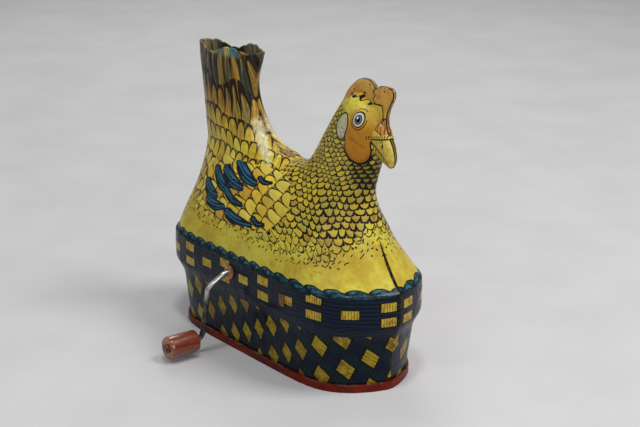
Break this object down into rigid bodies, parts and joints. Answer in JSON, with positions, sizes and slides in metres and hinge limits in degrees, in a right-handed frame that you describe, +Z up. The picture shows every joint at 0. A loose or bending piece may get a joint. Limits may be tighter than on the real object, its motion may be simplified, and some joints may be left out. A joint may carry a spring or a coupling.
{
  "type": "wind up tin toy",
  "caption": "Printed tin hen sitting on a woven basket, open at the tail for small eggs, with a wire hand crank and a turned wooden grip.",
  "frame": {"origin": "underside of the base pan, on the seam between the two halves, below the saddle of the back", "axes": "+X forwards (beak), +Y to the hen's left, +Z up; the crank leaves on -Y"},
  "size_m": [0.1351, 0.0873, 0.1219],
  "materials": {
    "printed_tin": "glossy printed and varnished sheet",
    "worn_tin": "worn, rusty",
    "red_tin": "satin paint",
    "steel_wire": "bright drawn wire",
    "varnished_wood": "turned, red-brown varnish",
    "copper": "aged copper colour",
    "plain_wood": "bare turned wood",
    "plain_tin": "dull tinplate",
    "spring_steel": "blued strip"
  },
  "bodies": {
    "hen": {"right_shell": "printed_tin", "left_shell": "printed_tin", "seam_tabs": "worn_tin", "base_pan": "red_tin", "base_tabs": "red_tin", "eyelet_near": "copper", "eyelet_far": "copper", "clapper_pin": "steel_wire", "clapper_spring": "spring_steel", "bridge_plate": "plain_tin", "bridge_tabs": "copper", "egg_chute": "plain_tin", "chute_posts": "plain_tin", "egg_ramp": "plain_tin"},
    "crank": {"crank_wire": "steel_wire", "grip_washer": "steel_wire", "shaft_clip": "steel_wire", "egg_wheel": "plain_wood", "wheel_discs": "plain_tin", "wheel_pin": "steel_wire", "spacer_near": "plain_wood", "spacer_mid": "plain_wood", "spacer_far": "plain_wood", "cackle_wheel": "plain_tin"},
    "grip": {"crank_grip": "varnished_wood"},
    "clapper": {"clapper": "spring_steel"}
  },
  "joints": [
    {"name": "crank_turn", "type": "hinge", "parent": "hen", "child": "crank", "pos_m": [-0.0048, 0, 0.0355], "axis": [0, 1, 0], "continuous": true},
    {"name": "grip_spin", "type": "hinge", "parent": "crank", "child": "grip", "pos_m": [-0.01134, -0.0484, 0.00622], "axis": [0, 1, 0], "continuous": true},
    {"name": "clapper_flick", "type": "hinge", "parent": "hen", "child": "clapper", "pos_m": [0.0265, 0.0145, 0.0355], "axis": [0, 1, 0], "range_deg": [-6, 6], "stiffness_Nm_per_rad": 0.02}
  ]
}
